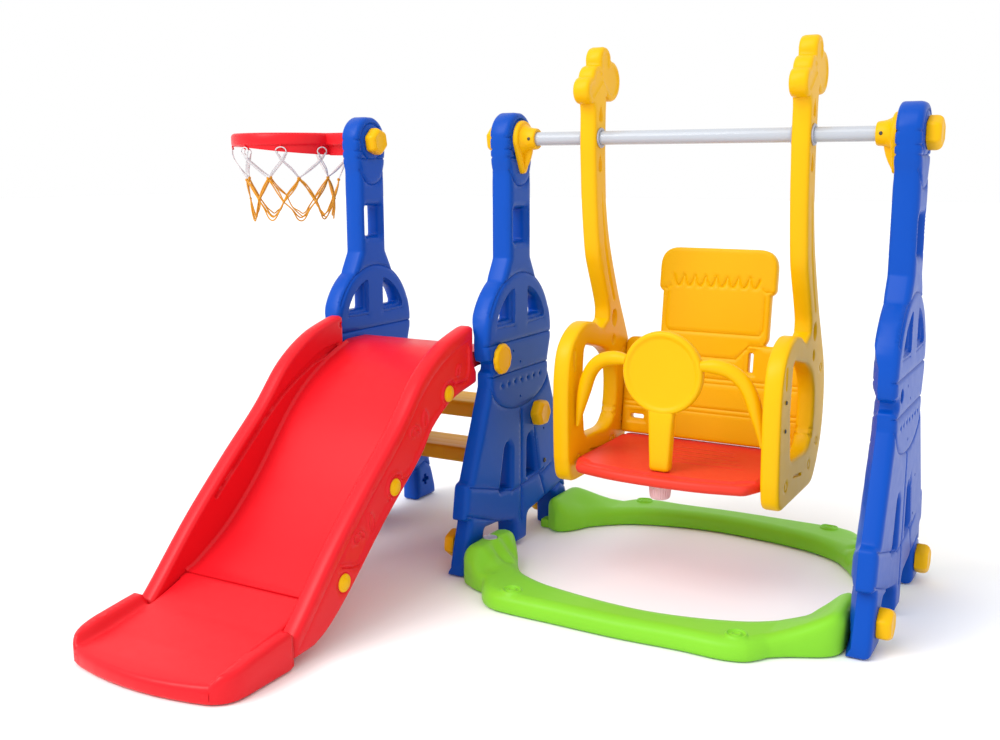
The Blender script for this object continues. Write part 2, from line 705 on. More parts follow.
def bracket(name, face, side):
    """A teardrop plate, its flaring neck, and the rib under the neck."""
    start = face + side * TOUCH
    plate_outline = rounded(
        [*arc(HEAD, 45.5, -15, 195, 30), (-15, 986, 6), (-8, 974, 6), (8, 974, 6), (15, 986, 6)]
    )
    plate = moulding(
        name + "_plate", plate_outline, [], lambda u, v, h: (start + side * h, u, v),
        lambda p, drop: 12 - drop, lambda p, drop: 0 * drop, (7, 0), spacing=6,
    )
    neck = [
        (43, 8), (40.5, 9.5), (37, 12), (33.5, 16), (30.5, 21), (28.2, 27), (26.8, 33), (26, 40), (25.4, 44),
        (24, 46), (20, 46.4), (17.6, 46), (17.2, 44), (17.2, 14),
    ]
    socket = turned(name + "_neck", neck, np.array([start, *HEAD]), side * X_AXIS, 64)
    rib_rings = []
    for z, reach in ((1040, 33), (1026, 31), (1012, 27), (1000, 22), (988, 16), (980, 12)):
        half = 5.5 * min(1, (z - 960) / 40)
        section = rounded(
            [(8, -half - 1), (reach - 2, -half, 2), (reach, 0, 3), (reach - 2, half, 2), (8, half + 1)]
        )
        rib_rings.append([(start + side * u, v, z) for u, v in section])
    return joined(name + "_socket", plate, socket, loft(name + "_rib", rib_rings))


finish_piece(bracket("bracket_left", 0, 1), "frame", "yellow_plastic", yellow, "bracket_left")
finish_piece(bracket("bracket_right", 908, -1), "frame", "yellow_plastic", yellow, "bracket_right")
screw_head("screw_bracket_left", "frame", (TOUCH + 34, -26.4, HEAD[1]), -Y_AXIS, 0.62)
screw_head("screw_bracket_right", "frame", (908 - TOUCH - 34, -26.4, HEAD[1]), -Y_AXIS, 0.62)

tube_paint = plastic("grey_tube_paint", (0.46, 0.49, 0.54), 0.22, 0.03, 0.05)
tube_paint.node_tree.nodes["Principled BSDF"].inputs["Coat Weight"].default_value = 0.4
tube_profile = [
    (14.5, TUBE_ENDS[0]), (16, TUBE_ENDS[0]), (TUBE_RADIUS, TUBE_ENDS[0] + 0.6),
    *[(TUBE_RADIUS, x) for x in np.linspace(40, 868, 12)],
    (TUBE_RADIUS, TUBE_ENDS[1] - 0.6), (16, TUBE_ENDS[1]), (14.5, TUBE_ENDS[1]),
]
tube = turned("crossbar_painted_tube", tube_profile, np.array([0, *HEAD]), X_AXIS, 64, around=True)
finish_piece(tube, "frame", "tube_paint", tube_paint, "crossbar_tube")

# ---------------------------------------------------------------- slide
# A red blow-moulded chute: a curved floor between two hollow rails, with a platform that locks
# between the panels. The rails' outer faces carry a raised vine, and their inner faces a long dent.

SLIDE_LEFT, SLIDE_RIGHT = -480, -36
RAIL_WIDTH = 43
CAP_PLACES = [(-295, 459), (-524, 287), (-716, 127)]

rail_top = [
    (-880, 62), (-845, 96), (-735, 210), (-612, 322), (-492, 424), (-400, 517), (-302, 576), (-200, 606)
]
rail_bottom = [
    (-180, 459), (-275, 437), (-362, 385), (-415, 327), (-555, 218), (-692, 98), (-765, 44), (-815, 22),
]
top_curve, bottom_curve = curve(rail_top, 40), curve(rail_bottom, 40)
rail_outline = rounded(
    [(-884, 18, 10), *map(tuple, top_curve), (-176, 609, 12), (-176, 520), (-160, 492), (-160, 463),
     *map(tuple, bottom_curve)]
)

vine = [(-204, 556), (-205, 530), (-206, 503), (-214, 486), (-235, 480), (-258, 482)]
vine += arc(CAP_PLACES[0], 31, 42, 222, 14)
vine += [(-330, 428), (-362, 410), (-398, 372), (-430, 341), (-470, 308)]
vine += arc(CAP_PLACES[1], 31, 30, 232, 14)
vine += [
    (-556, 248), (-590, 222), (-632, 184), (-652, 164), (-668, 156), (-690, 158), (-712, 165), (-724, 168)
]
vine = curve(vine, 150)
leaf = [(0, 0), (9, 7), (11, 19), (4, 33), (-3, 20), (-4, 9), (0, 0)]


def sprout(place, lean, size):
    """A leaf's outline that springs from the vine at a place."""
    turn = math.radians(lean)
    across = np.array([math.cos(turn), math.sin(turn)])
    up = np.array([-math.sin(turn), math.cos(turn)])
    return curve([np.array(place) + size * (u * across + v * up) for u, v in leaf], 22)


sprouts = [sprout((-262, 497), -25, 0.9)]
for dy, dz in ((0, 0), (-220, -186)):
    sprouts.append(sprout((-400 + dy, 398 + dz), 8, 1.25))
    sprouts.append(
        np.vstack([sprout((-424 + dy, 390 + dz), 52, 0.9), ring_line((-452 + dy, 397 + dz), 11, 18)])
    )
rail_beads = [(vine, 4.2, -4.0)] + [(line, 3.2, -3.0) for line in sprouts]
cap_seats = [(ring_line(place, 21.5, 28), 3.0, 2.4) for place in CAP_PLACES]

inner_dent = rounded(
    [(-196, 541, 4), (-250, 535), (-294, 522), (-360, 491), (-439, 446), (-510, 390), (-575, 337),
     (-640, 281), (-677, 247, 8), (-668, 236, 8), (-640, 260), (-609, 287), (-540, 343), (-475, 398),
     (-420, 438), (-369, 466), (-300, 496), (-250, 508), (-192, 513, 4)]
)


def rail_outside(points, drop):
    """Depth of the outer face: a rounded rim at the top, then the vine and the seats of the caps."""
    depth = drop + groove(points, top_curve + np.array([7, -30]), 4.5, 1.4)
    for line, width, deep in rail_beads + cap_seats:
        depth += groove(points, line, width, deep)
    depth += groove(points, vine + np.array([3, -7]), 3.2, 2.6)
    return depth


def rail_inside(points, drop):
    """Depth of the inner face, with its long dent."""
    dent = pocket(points, inner_dent, 4.5, 8)
    return drop + dent + pocket(points, circle((-186, 584), 9, 18), 3, 8)


rail_rows = [(line, width) for line, width, _ in rail_beads + cap_seats]
rail_rows += [(vine + np.array([3, -7]), 3.2)]
rail_rows += [
    (closed(inner_dent), 4), (top_curve + np.array([7, -30]), 4.5), (ring_line((-186, 584), 7, 18), 2.5)
]
right_rail = moulding(
    "right_rail", rail_outline, [], lambda u, v, h: (SLIDE_RIGHT - RAIL_WIDTH + h, u, v),
    lambda p, drop: RAIL_WIDTH - rail_outside(p, drop), rail_inside, (13, 11), rail_rows,
)
left_rail = moulding(
    "left_rail", rail_outline, [], lambda u, v, h: (SLIDE_LEFT + h, u, v),
    lambda p, drop: RAIL_WIDTH - rail_inside(p, drop), rail_outside, (11, 13), rail_rows,
)

floor_line = [
    (-775, 101), (-735, 114), (-636, 172), (-532, 263), (-419, 386), (-341, 452), (-261, 497), (-190, 526)
]
floor_line = np.vstack([
    curve(floor_line, 60),
    [(-176, 530), (-162, 534), (-148, 537), (-130, 539.5), (-110, 540)],
    [(-90, 540), (-70, 540), (-54, 540), (-46, 538), (-41, 534), (-40, 528)],
])
heading = np.gradient(floor_line, axis=0)
heading /= np.linalg.norm(heading, axis=1)[:, None]
floor_rings = []
for (y, z), (along_y, along_z) in zip(floor_line, heading):
    on_platform = y > -158
    left, right = (-458.6, -56.4) if on_platform else (
        SLIDE_LEFT + RAIL_WIDTH - 3, SLIDE_RIGHT - RAIL_WIDTH + 3
    )
    upper = []
    for x in [
        *np.linspace(left, left + 12, 8), *np.linspace(left + 40, right - 40, 12),
        *np.linspace(right - 12, right, 8)
    ]:
        corner = min(8, max(0, 8 - (min(x - left, right - x) - 3)))
        lift = 0 if on_platform else 8 - math.sqrt(64 - corner**2)
        upper.append((x, y - lift * along_z, z + lift * along_y))
    thick = 28 if y < -190 else 28 + min(12, (y + 190) * 0.4)
    lower = [
        (x, min(y + thick * along_z, -40), z - thick * along_y if y < -46 else 500)
        for x in (right, (left + right) / 2, left)
    ]
    floor_rings.append(upper + lower)
chute_floor = loft("chute_floor", floor_rings)

red = plastic("red_polyethylene", (0.74, 0.008, 0.016), 0.34, gleam=0.22)
chute = joined("slide_chute_moulding", right_rail, left_rail, chute_floor)
finish_piece(chute, "frame", "red_plastic", red, "slide_chute")

# The landing is a separate red moulding. It hooks under the chute's end with a tongue between the
# rails, and lies flat on the floor with a raised rim along each side.

RAIL_END = -884.4
landing_plan = rounded(
    [(-436.6, -775.4), (-436.6, RAIL_END), (SLIDE_LEFT, RAIL_END), (SLIDE_LEFT, -1072, 58),
     (-258, -1134, 190), (SLIDE_RIGHT, -1072, 58), (SLIDE_RIGHT, RAIL_END), (-79.4, RAIL_END),
     (-79.4, -775.4)], 9,
)
landing_bed = np.array(
    [(-1150, 31), (-1100, 35), (-1070, 40), (-1000, 46), (-880, 66), (-830, 81), (-775, 101)]
)
landing_rim = np.array(
    [(-1150, 31), (-1092, 40), (-1062, 57), (-1000, 70), (-920, 80), (-884, 84), (-770, 84)]
)


def landing_top(points, drop):
    """The bed, and the rims that rise from it along both sides and die out at the front corners."""
    x, y = points.T
    bed = np.interp(y, *landing_bed.T)
    rim = np.maximum(bed, np.interp(y, *landing_rim.T))
    from_side = np.minimum(x - SLIDE_LEFT, SLIDE_RIGHT - x)
    t = np.clip((44 - from_side) / 16, 0, 1) * (y < RAIL_END + 1)
    return bed + (rim - bed) * t * t * (3 - 2 * t) - drop * (y < -800) - drop * 0.3 * (y >= -800)


def landing_underside(points, drop):
    return np.clip((points[:, 1] + 815) / 40, 0, 1) * 60 + drop * (points[:, 1] < -800)


rim_lines = [(np.array([(x, -890), (x, -1110)]), 7) for x in (SLIDE_LEFT + 36, SLIDE_RIGHT - 36)]
landing = moulding(
    "slide_landing_moulding", landing_plan, [], lambda u, v, h: (u, v, h),
    landing_top, landing_underside, (12, 9), rim_lines,
)
finish_piece(landing, "frame", "red_plastic", red, "slide_landing")

# Six domed yellow caps cover the seams of the rails' halves, pressed in. Two scalloped lock knobs go
# through the panels into the platform's sides.

cap_profile = [
    (13, 0), (19.2, 0), (20, 0.8), (19.6, 2), (17.6, 3.4), (14, 4.6), (13.2, 4.2), (12.4, 4.8), (7, 5.8),
    (0.5, 6.1)
]
for i, (y, z) in enumerate(CAP_PLACES, 1):
    for side_name, face, side in (("left", SLIDE_LEFT, -1), ("right", SLIDE_RIGHT, 1)):
        cap = turned(
            f"cap_{side_name}_{i}", cap_profile, np.array([face + side * (TOUCH - 1), y, z]), side * X_AXIS,
            40
        )
        finish_piece(cap, "frame", "yellow_plastic", yellow, f"slide_cap_{side_name}_{i}")


def scalloped(angle, radius):
    return 1 - 0.045 * abs(math.sin(5 * angle)) ** 6 if radius > 30 else 1


lock_profile = [
    (30, 0), (37.5, 0.3), (39, 2), (39, 6), (38, 9), (35.5, 11.5), (31, 13), (29.5, 13), (28, 11.8),
    (10, 12.6), (0.5, 12.8),
]
for name, face, side in (("lock_knob_outer", -515, -1), ("lock_knob_middle", 0, 1)):
    lock = turned(
        name + "_head", lock_profile, np.array([face + side * TOUCH, *LOCK_BOLT]), side * X_AXIS, 80,
        scalloped
    )
    finish_piece(lock, "frame", "yellow_plastic", yellow, name)

# ---------------------------------------------------------------- swing frames
# Each side of the swing is one hollow yellow moulding: a head of round lobes, a long arm, and a ring
# with an armrest loop. Its edges are full and round, and dents along it stiffen the walls.

SWING_CENTRE = 451
SEAT_WIDTH = 468
FRAME_DEPTH = 42


def lobed_head(from_angle, to_angle, steps, inset=0):
    """The farthest reach of four circles from the head's middle, in each direction."""
    middle = np.array([10.0, 1195.0])
    lobes = [(27, 1240, 33), (66, 1195, 48), (-42, 1168, 32), (-10, 1192, 36)]
    edge = []
    for angle in np.radians(np.linspace(from_angle, to_angle, steps + 1)):
        ray = np.array([math.cos(angle), math.sin(angle)])
        reaches = []
        for y, z, radius in lobes:
            centre = np.array([y, z]) - middle
            along = centre @ ray
            square = (radius - inset) ** 2 - centre @ centre + along**2
            reaches.append(along + math.sqrt(square) if square > 0 else 0)
        edge.append(tuple(middle + ray * max(reaches)))
    return edge


arm_front = curve([(-28, 985), (-21, 905), (-2, 790), (18, 738), (42, 690), (62, 643), (62, 614)], 30)
ring_front = curve(
    [(-12, 614), (-62, 619), (-112, 601), (-148, 567), (-164, 519), (-169, 460), (-168, 380), (-164, 300)], 34
)
loop_rear = curve(
    [(178, 282), (205, 330), (220, 390), (221, 460), (206, 525), (168, 598), (133, 660), (97, 736), (70, 800),
     (54, 852), (42, 908)], 50,
)
frame_outline = rounded(
    [*lobed_head(-55, 232, 60), (-32, 1118, 6), (-32, 1036), *map(tuple, arm_front), (26, 594, 12),
     *map(tuple, ring_front), (-152, 236, 34), (138, 236, 30), *map(tuple, loop_rear), (36, 990), (34, 1036),
     (34, 1118, 6)]
)
frame_window = rounded(
    [
        (-68, 335, 24), (98, 330, 50), (122, 400, 40), (118, 486, 40), (66, 538, 40), (-74, 568, 26),
        (-84, 460, 20)
    ], 8,
)
head_face = np.array(lobed_head(-50, 228, 50, 12))
arm_dent = rounded(
    [(6, 935, 4), (13, 930, 4), (44, 800), (74, 722), (104, 658, 8), (90, 652, 8), (58, 712), (30, 790)]
)
drops = [
    (rounded([(-10, 1100), (0, 1094), (10, 1100), (11, 1113), (0, 1138), (-11, 1113)]), 4, 7),
    (rounded([(-10, 982), (0, 976), (10, 982), (11, 996), (0, 1022), (-11, 996)]), 4, 7),
    (np.array(arc((98, 612), (16, 24), 0, 345, 23)), 8, 9),
    (np.array(arc((96, 556), (11, 15), 0, 345, 23)), 7, 7),
    (rounded([(-136, 508, 6), (-124, 508, 6), (-122, 560, 6), (-130, 566, 6), (-140, 556, 6)]), 6, 6),
    (rounded([(-42, 300, 4), (33, 289, 4), (32, 280, 4), (-43, 291, 4)]), 3, 5),
    (head_face, 4, 2.2),
    (arm_dent, 6, 3.0),
]
frame_rings = [((166, 517), 9), ((157, 337), 9), ((93, 293), 10), ((-103, 287), 11)]


def frame_relief(points):
    """Depth of a side frame's pattern: teardrops, ovals, the slot, and ringed spots."""
    depth = sum(pocket(points, loop, slope, deep) for loop, slope, deep in drops)
    for place, radius in frame_rings:
        depth += groove(points, ring_line(place, radius, 20), 2.6, 1.8)
        depth += pocket(points, circle(place, radius - 2, 20), 3, 1.0)
    return depth


frame_rows = [(closed(loop), slope * 0.8) for loop, slope, _ in drops]
frame_rows += [(ring_line(place, radius, 20), 2.6) for place, radius in frame_rings]
guard_screws = [(-128, 484), (-128, 420)]
bush_hole = circle(HEAD, 19.2, 32)
left_frame = moulding(
    "side_frame_left", frame_outline, [frame_window, bush_hole],
    lambda u, v, h: (217 - FRAME_DEPTH + h, u, v),
    lambda p, drop: FRAME_DEPTH - drop - frame_relief(p), lambda p, drop: drop + frame_relief(p),
    [(8, 8), (9, 9), (2.5, 2.5)], frame_rows,
)
right_frame = copied(
    left_frame, "side_frame_right", Matrix.Translation(((SEAT_WIDTH + FRAME_DEPTH) / 1000, 0, 0))
)
finish_piece(left_frame, "swing", "yellow_plastic", yellow, "swing_frame_left")
finish_piece(right_frame, "swing", "yellow_plastic", yellow, "swing_frame_right")
for name, face, side in (("left", 217 - FRAME_DEPTH, -1), ("right", 685 + FRAME_DEPTH, 1)):
    for place, height in zip(guard_screws, ("upper", "lower")):
        screw_head(f"screw_guard_{name}_{height}", "swing", (face + side * TOUCH, *place), side * X_AXIS, 0.7)

# Four flanged bushes, two in each arm, are pressed in from both sides and turn on the tube. They are
# of slippery pale grey plastic.

grey = plastic("grey_bearing_plastic", (0.42, 0.42, 0.47), 0.3)
bush_profile = [
    (17.3, -18), (18.8, -18), (18.8, 0), (23.4, 0), (24, 0.8), (24, 2.6), (23.2, 3.6), (18.6, 4), (17.3, 3.4),
]
for name, inner, side in (("left", 217, -1), ("right", 685, 1)):
    for position, face, out in (("inner", inner, -side), ("outer", inner + side * FRAME_DEPTH, side)):
        bush = turned(
            f"flanged_bush_{name}_{position}", bush_profile, np.array([face + out * TOUCH, *HEAD]),
            out * X_AXIS, 56, around=True
        )
        finish_piece(bush, "swing", "grey_plastic", grey, f"bush_{name}_{position}")

# ---------------------------------------------------------------- swing seat
# An orange-red tray between the side frames. Its sitting face stands a little above a rim that rolls
# over the front edge, and five lines are pressed across it.

seat_half = [(110, -202, 40), (208, -178, 16), (233.2, -118, 16), (233.2, 136, 10), (200, 171, 10)]
seat_plan = rounded([(0, -208, 60), *seat_half, *mirrored(seat_half)], 8)
sitting_half = [
    (100, -182, 30), (176, -168, 4), (196, -146, 6), (222, -138, 6), (229, 150, 10), (222, 169, 10)
]
sitting_face = rounded([(0, -186, 50), *sitting_half, *mirrored(sitting_half)], 6)
seat_lines = [
    (np.array([(-118 + 16 * i, y), (96 + 16 * i, y)]), 3.2, 1.1) for i,
    y in enumerate((84, 48, 12, -24, -60))
]


def seat_top(points, drop):
    lines = sum(groove(points, line, width, deep) for line, width, deep in seat_lines)
    return 24 - drop * (points[:, 1] < 150) + pocket(points, sitting_face, 7, 3.8) - lines


def seat_underside(points, drop):
    """The underside, with a hollow that leaves a rim round it."""
    return drop + pocket(points, sitting_face * 0.93, 8, 3) * (
        np.hypot(points[:, 0], points[:, 1] + 157) > 34
    )


seat = moulding(
    "swing_seat_tray", seat_plan, [], lambda u, v, h: (SWING_CENTRE + u, v, 272 + h), seat_top,
    seat_underside, (9, 10),
    [
        (closed(sitting_face), 6), (closed(sitting_face * 0.93), 7),
        *[(line, width) for line, width, _ in seat_lines]
    ], 8,
)
seat_red = plastic("seat_polyethylene", (0.78, 0.045, 0.026), 0.38)
finish_piece(seat, "swing", "seat_red_plastic", seat_red, "swing_seat")

# ---------------------------------------------------------------- swing back
# A leaning yellow backrest with a headrest above a neck. Slots for a harness and a lap strap go
# through it. Lines and a plain scalloped border are pressed into its front.

BACK_LEAN = math.radians(7.05)
back_half = [
    (233.2, 0, 8), (233.2, 254, 26), (132, 252, 6), (141, 266, 8), (141, 376), (152, 384, 8), (152, 489, 50),
]
back_outline = rounded([*back_half, *mirrored(back_half)], 8)
harness_slot = [(96, 184, 5), (108, 184, 5), (108, 233, 5), (96, 233, 5)]
lap_slot = [(172, 39, 5), (208, 39, 5), (208, 51, 5), (172, 51, 5)]
scallops = [
    (28.5 * i - 114 + 28.5 * t, 418 - 26 * math.sin(math.pi * t)) for i in range(8)
    for t in np.linspace(0, 0.95, 9)
]
back_lines = [
    (scallops, 4.0, 3.2),
    ([(-118, 276), (118, 276)], 3.2, 2.0),
    ([(-122, 280), (-128, 290), (-128, 372)], 3.2, 2.0),
    ([(122, 280), (128, 290), (128, 372)], 3.2, 2.0),
    ([(-152, 384), (-128, 384), (-120, 392)], 3.0, 1.6),
    ([(152, 384), (128, 384), (120, 392)], 3.0, 1.6),
    ([(-224, 248), (-96, 250), (-64, 214), (64, 214), (96, 250), (224, 248)], 3.4, 2.2),
    ([(-224, 160), (224, 160)], 3.2, 2.0),
    ([(-224, 148), (224, 148)], 3.2, 1.4),
    ([(-224, 84), (224, 84)], 3.2, 2.0),
    ([(-224, 72), (224, 72)], 3.2, 1.4),
]
back_lines = [(np.array(line, float), width, deep) for line, width, deep in back_lines]
strap_bosses = [
    rounded([(84, 172, 8), (120, 172, 8), (120, 245, 8), (84, 245, 8)]),
    rounded([(158, 26, 8), (222, 26, 8), (214, 64, 8), (166, 64, 8)])
]
strap_bosses += [rounded(mirrored([tuple(p) for p in boss])) for boss in strap_bosses]


def back_relief(points):
    lines = sum(groove(points, line, width, deep) for line, width, deep in back_lines)
    return lines + sum(pocket(points, boss, 5, 2) for boss in strap_bosses)


backrest = moulding(
    "swing_backrest", back_outline,
    [rounded(h) for h in (harness_slot, mirrored(harness_slot), lap_slot, mirrored(lap_slot))],
    lambda u, v, h: (
        SWING_CENTRE + u,
        145 + 28 + v * math.sin(BACK_LEAN) - h * math.cos(BACK_LEAN),
        300.4 + v * math.cos(BACK_LEAN) + h * math.sin(BACK_LEAN),
    ),
    lambda p, drop: 28 - drop - back_relief(p), lambda p, drop: drop + 0.6 * back_relief(p),
    [(7, 7)] + [(3, 3)] * 4,
    [(line, width) for line, width, _ in back_lines] + [(closed(boss), 4) for boss in strap_bosses],
)
finish_piece(backrest, "swing", "yellow_plastic", yellow, "swing_back")

# ---------------------------------------------------------------- swing guard
# The front guard is one yellow moulding: a round plate with a raised rim, an arched bar that runs
# down both side frames, and a post to the seat. A ribbed pink knob under the seat holds the post.

POST_Y = -157
GUARD_BAR_RADIUS = 17
disc_profile = [
    (0.5, -8), (76, -8), (80, -8.6), (83, -10.5), (86, -12.2), (90, -12.6), (93.5, -11), (95.6, -7.5),
    (96.4, -2),
    (96.4, 2), (95.6, 7.5), (93.5, 11), (90, 12.6), (86, 12.2), (83, 10.5), (80, 8.6), (76, 8), (0.5, 8),
]
disc = turned("guard_disc", disc_profile, np.array([SWING_CENTRE, -155, 530]), -Y_AXIS, 96)


def bent(start, first, second, end, t):
    """A point on a smooth bend from start to end, drawn towards two places on the way."""
    start, first, second, end = (np.array(p, float) for p in (start, first, second, end))
    return (1 - t) ** 3 * start + 3 * t * (1 - t) ** 2 * first + 3 * t * t * (1 - t) * second + t**3 * end


def bar_end(side):
    """Half of the arched bar, from its flattened foot on a side frame up to the disc."""
    foot = side * (SEAT_WIDTH / 2 - 19)
    route = [
        bent((foot, -128, 376), (foot, -128, 512), (side * 176, -152, 566), (side * 86, -155, 553), t)
        for t in np.linspace(0, 1, 40)
    ]
    heading = np.gradient(np.array(route), axis=0)
    rings = []
    for i, (place, along) in enumerate(zip(route, heading)):
        along = along / np.linalg.norm(along)
        across = np.cross(along, Y_AXIS)
        across /= np.linalg.norm(across)
        outward = np.cross(across, along)
        fullness = min(1, 0.30 + 0.70 * math.sin(min(1, i / 13) * math.pi / 2), 0.74 + (39 - i) * 0.05)
        middle = place + (SWING_CENTRE + side * GUARD_BAR_RADIUS * (1 - fullness)) * X_AXIS
        rings.append(
            [middle + GUARD_BAR_RADIUS * fullness * (math.cos(a) * across + math.sin(a) * outward)
             for a in np.linspace(0, 2 * math.pi, 28, endpoint=False)]
        )
    return loft(f"guard_bar_{'left' if side < 0 else 'right'}", rings)


post_rings = []
for z, wide, deep, lean in (
    (300.6, 17, 8, 0), (302, 21, 12, 0), (305, 23.5, 14.5, 0), (311, 24.5, 16, 0), (330, 25, 16, 0),
    (370, 27, 16, 0),
    (410, 29, 15, 0), (430, 30.5, 13.5, 0), (440, 31, 12, 0), (448, 30.5, 9, 0), (452, 29, 6, 0),
):
    section = rounded([(-wide, -deep, 10), (wide, -deep, 10), (wide, deep, 10), (-wide, deep, 10)], 6)
    post_rings.append([(SWING_CENTRE - 1 + u, -155 + lean + v, z) for u, v in section])
guard = joined("swing_guard_moulding", disc, bar_end(-1), bar_end(1), loft("guard_post", post_rings))
finish_piece(guard, "swing", "yellow_plastic", yellow, "swing_guard")


def ribbed(angle, radius):
    return 1 - 0.055 * (0.5 - 0.5 * math.cos(26 * angle)) if 21 < radius < 27.5 else 1


pink = plastic("pink_knob_plastic", (0.78, 0.46, 0.49), 0.34)
seat_knob_profile = [
    (12, 0), (27.8, 0), (28, 1), (28, 4), (27.2, 5), (26.2, 6), (25.6, 14), (24.6, 24), (23.4, 31),
    (21.5, 34.4),
    (18, 36), (15, 36), (13.5, 35), (0.5, 34.6),
]
seat_knob = turned(
    "seat_ribbed_knob", seat_knob_profile, np.array([SWING_CENTRE, POST_Y, 272 - TOUCH]), -Z_AXIS, 156, ribbed
)
finish_piece(seat_knob, "swing", "pink_plastic", pink, "knob_seat")

# ---------------------------------------------------------------- floor rails
# Two green mouldings tie the middle and swing panels' feet together, front and rear. They are the
# same piece, and the rear one is turned half a turn. One end rises in a hump and the other in a ramp.

RAIL_FOOT, RAIL_HEAD = 0.4, 907.6
PLUG_PLACE = (31, 219)
rail_outer_edge = curve(
    [(98, 372), (112, 398), (138, 422), (180, 434), (300, 436), (460, 438), (600, 430), (690, 431),
     (742, 418), (766, 394), (780, 374)], 40,
)
rail_inner_edge = curve(
    [(872, 128), (846, 142), (822, 176), (800, 216), (742, 268), (688, 298), (590, 327), (488, 340),
     (382, 334), (281, 318), (215, 300), (146, 262), (104, 208), (80, 166), (56, 136)], 60,
)
rail_plan = rounded(
    [(RAIL_FOOT, 144, 20), (RAIL_FOOT, 297, 16), (20, 324, 8), (56, 345, 10), (90, 358, 6),
     *map(tuple, rail_outer_edge),
     (812, 352, 10), (868, 324, 10), (RAIL_HEAD, 298, 34), (RAIL_HEAD, 144, 20), *map(tuple, rail_inner_edge),
     (30, 126, 8)]
)
hump_line = np.array([(0, 84), (14, 90), (50, 90), (64, 78), (78, 63), (96, 53.5), (120, 47.5), (150, 44)])
ramp_line = np.array([(790, 44), (822, 49), (848, 62), (868, 78), (886, 89), (896, 91.5), (908, 91.5)])
ridge_line = np.array([(770, 44), (800, 52), (830, 63), (860, 76), (886, 88), (896, 91.5), (908, 91.5)])
bolt_marks = [(192, 398), (714, 386)]


def swell(values, start, end):
    """From 0 at start to 1 at end, with an easy beginning and end."""
    t = np.clip((values - start) / (end - start), 0, 1)
    return t * t * (3 - 2 * t)


def rail_face(points, drop):
    """Height of a floor rail's upper face: plank, fluted hump at one end, dished ramp at the other."""
    x, y = points.T
    hump = (np.interp(x, *hump_line.T) - 44) * (x < 400)
    hump *= 1 - 0.42 * swell(y, 285, 350)
    for middle, width, deep in ((246, 20, 9), (196, 20, 9)):
        across = np.clip(np.abs(y - middle - 0.12 * (x - 60)) / width, 0, 1)
        hump -= deep * (1 - across**2) ** 2 * swell(x, 44, 66) * (1 - swell(x, 92, 124)) * (x < 400)
    dish = 10 * np.clip(1 - np.hypot((x - 66) / 52, (y - 322) / 34) ** 2, 0, 1) ** 1.5
    outer = swell(y, 215, 292)
    ramp = np.interp(x, *ramp_line.T) * (1 - outer) + np.interp(x, *ridge_line.T) * outer - 44
    marks = 0
    for place in bolt_marks:
        marks = marks + groove(points, ring_line(place, 21, 40), 4.2, -4.0)
        marks = marks + groove(points, ring_line(place, 9, 28), 3.4, -3.2)
    return 44 + hump + ramp * (x > 600) - dish - drop - marks


rail_rows = [(ring_line(place, radius, 40), 2.6) for place in bolt_marks for radius in (22, 18, 10)]
plug_hole = circle(PLUG_PLACE, 18.6, 28)
green = plastic("green_polyethylene", (0.22, 0.60, 0.03), 0.36)
front_rail = moulding(
    "rail_plank", rail_plan, [plug_hole], lambda u, v, h: (u, -v, h), rail_face, lambda p, drop: drop,
    [(26, 8), (1.5, 1.5)], rail_rows, 8,
)
tab_rings = []
for x, inset in ((RAIL_HEAD - 6, 0), (RAIL_HEAD + 16, 0), (RAIL_HEAD + 20.5, 1), (RAIL_HEAD + 22, 4)):
    low, high = 150 + inset, 186 - inset
    section = rounded([(low, 0, 5), (high, 0, 5), (high, 24 - inset, 5), (low, 24 - inset, 5)])
    tab_rings.append([(x, -v, z) for v, z in section])
front_rail = joined("floor_rail_front_moulding", front_rail, loft("rail_tab", tab_rings))
plug_profile = [
    (0.5, 0), (16, 0), (17.8, 1), (17.8, 7), (17, 8.6), (15.6, 9), (14.6, 8.4), (13.8, 7.8), (0.5, 7.8)
]
front_plug = turned(
    "plug_front_disc", plug_profile, np.array([PLUG_PLACE[0], -PLUG_PLACE[1], 82]), Z_AXIS, 40
)
middle = at((RAIL_FOOT + RAIL_HEAD) / 2, 0, 0)
half_turn = Matrix.Translation(middle) @ Matrix.Rotation(math.pi, 4, "Z") @ Matrix.Translation(-middle)
rear_rail = copied(front_rail, "floor_rail_rear_moulding", half_turn)
rear_plug = copied(front_plug, "plug_rear_disc", half_turn)
for name, rail, plug in (("front", front_rail, front_plug), ("rear", rear_rail, rear_plug)):
    finish_piece(rail, "frame", "green_plastic", green, f"floor_rail_{name}")
    finish_piece(plug, "frame", "grey_plastic", grey, f"plug_{name}")

# ---------------------------------------------------------------- hoop
# A small red hoop is bolted to the outer panel's head. Its band is rounded, and a thinner skirt under
# it deepens towards the panel. Nine hooks under the band hold the net.

HOOP_CENTRE = np.array([-740.0, 0.0])
HOOK_COUNT = 9
HOOP_TOP, HOOP_BOTTOM, SKIRT_LOW = 1083, 1048, 1023


def hoop_ring():
    rings = []
    for angle in np.linspace(0, 2 * math.pi, 96, endpoint=False):
        ray = np.array([math.cos(angle), math.sin(angle)])
        x = HOOP_CENTRE[0] + 155 * ray[0]
        low = HOOP_BOTTOM - (HOOP_BOTTOM - SKIRT_LOW) * max(0, min(1, (x + 800) / 230))
        section = [
            (145, 1076), (146.5, 1080.5), (151, HOOP_TOP), (158, HOOP_TOP), (162.5, 1080.5), (165, 1075),
            (165, 1055),
            (163.5, 1051), (160, 1049.5), (159.5, min(low + 3, 1049)), (158, low), (149, low),
            (147.5, min(low + 3, 1049)), (145, 1053),
        ]
        rings.append([(*(HOOP_CENTRE + r * ray), z) for r, z in section])
    return loft("hoop_band", rings, around=True)


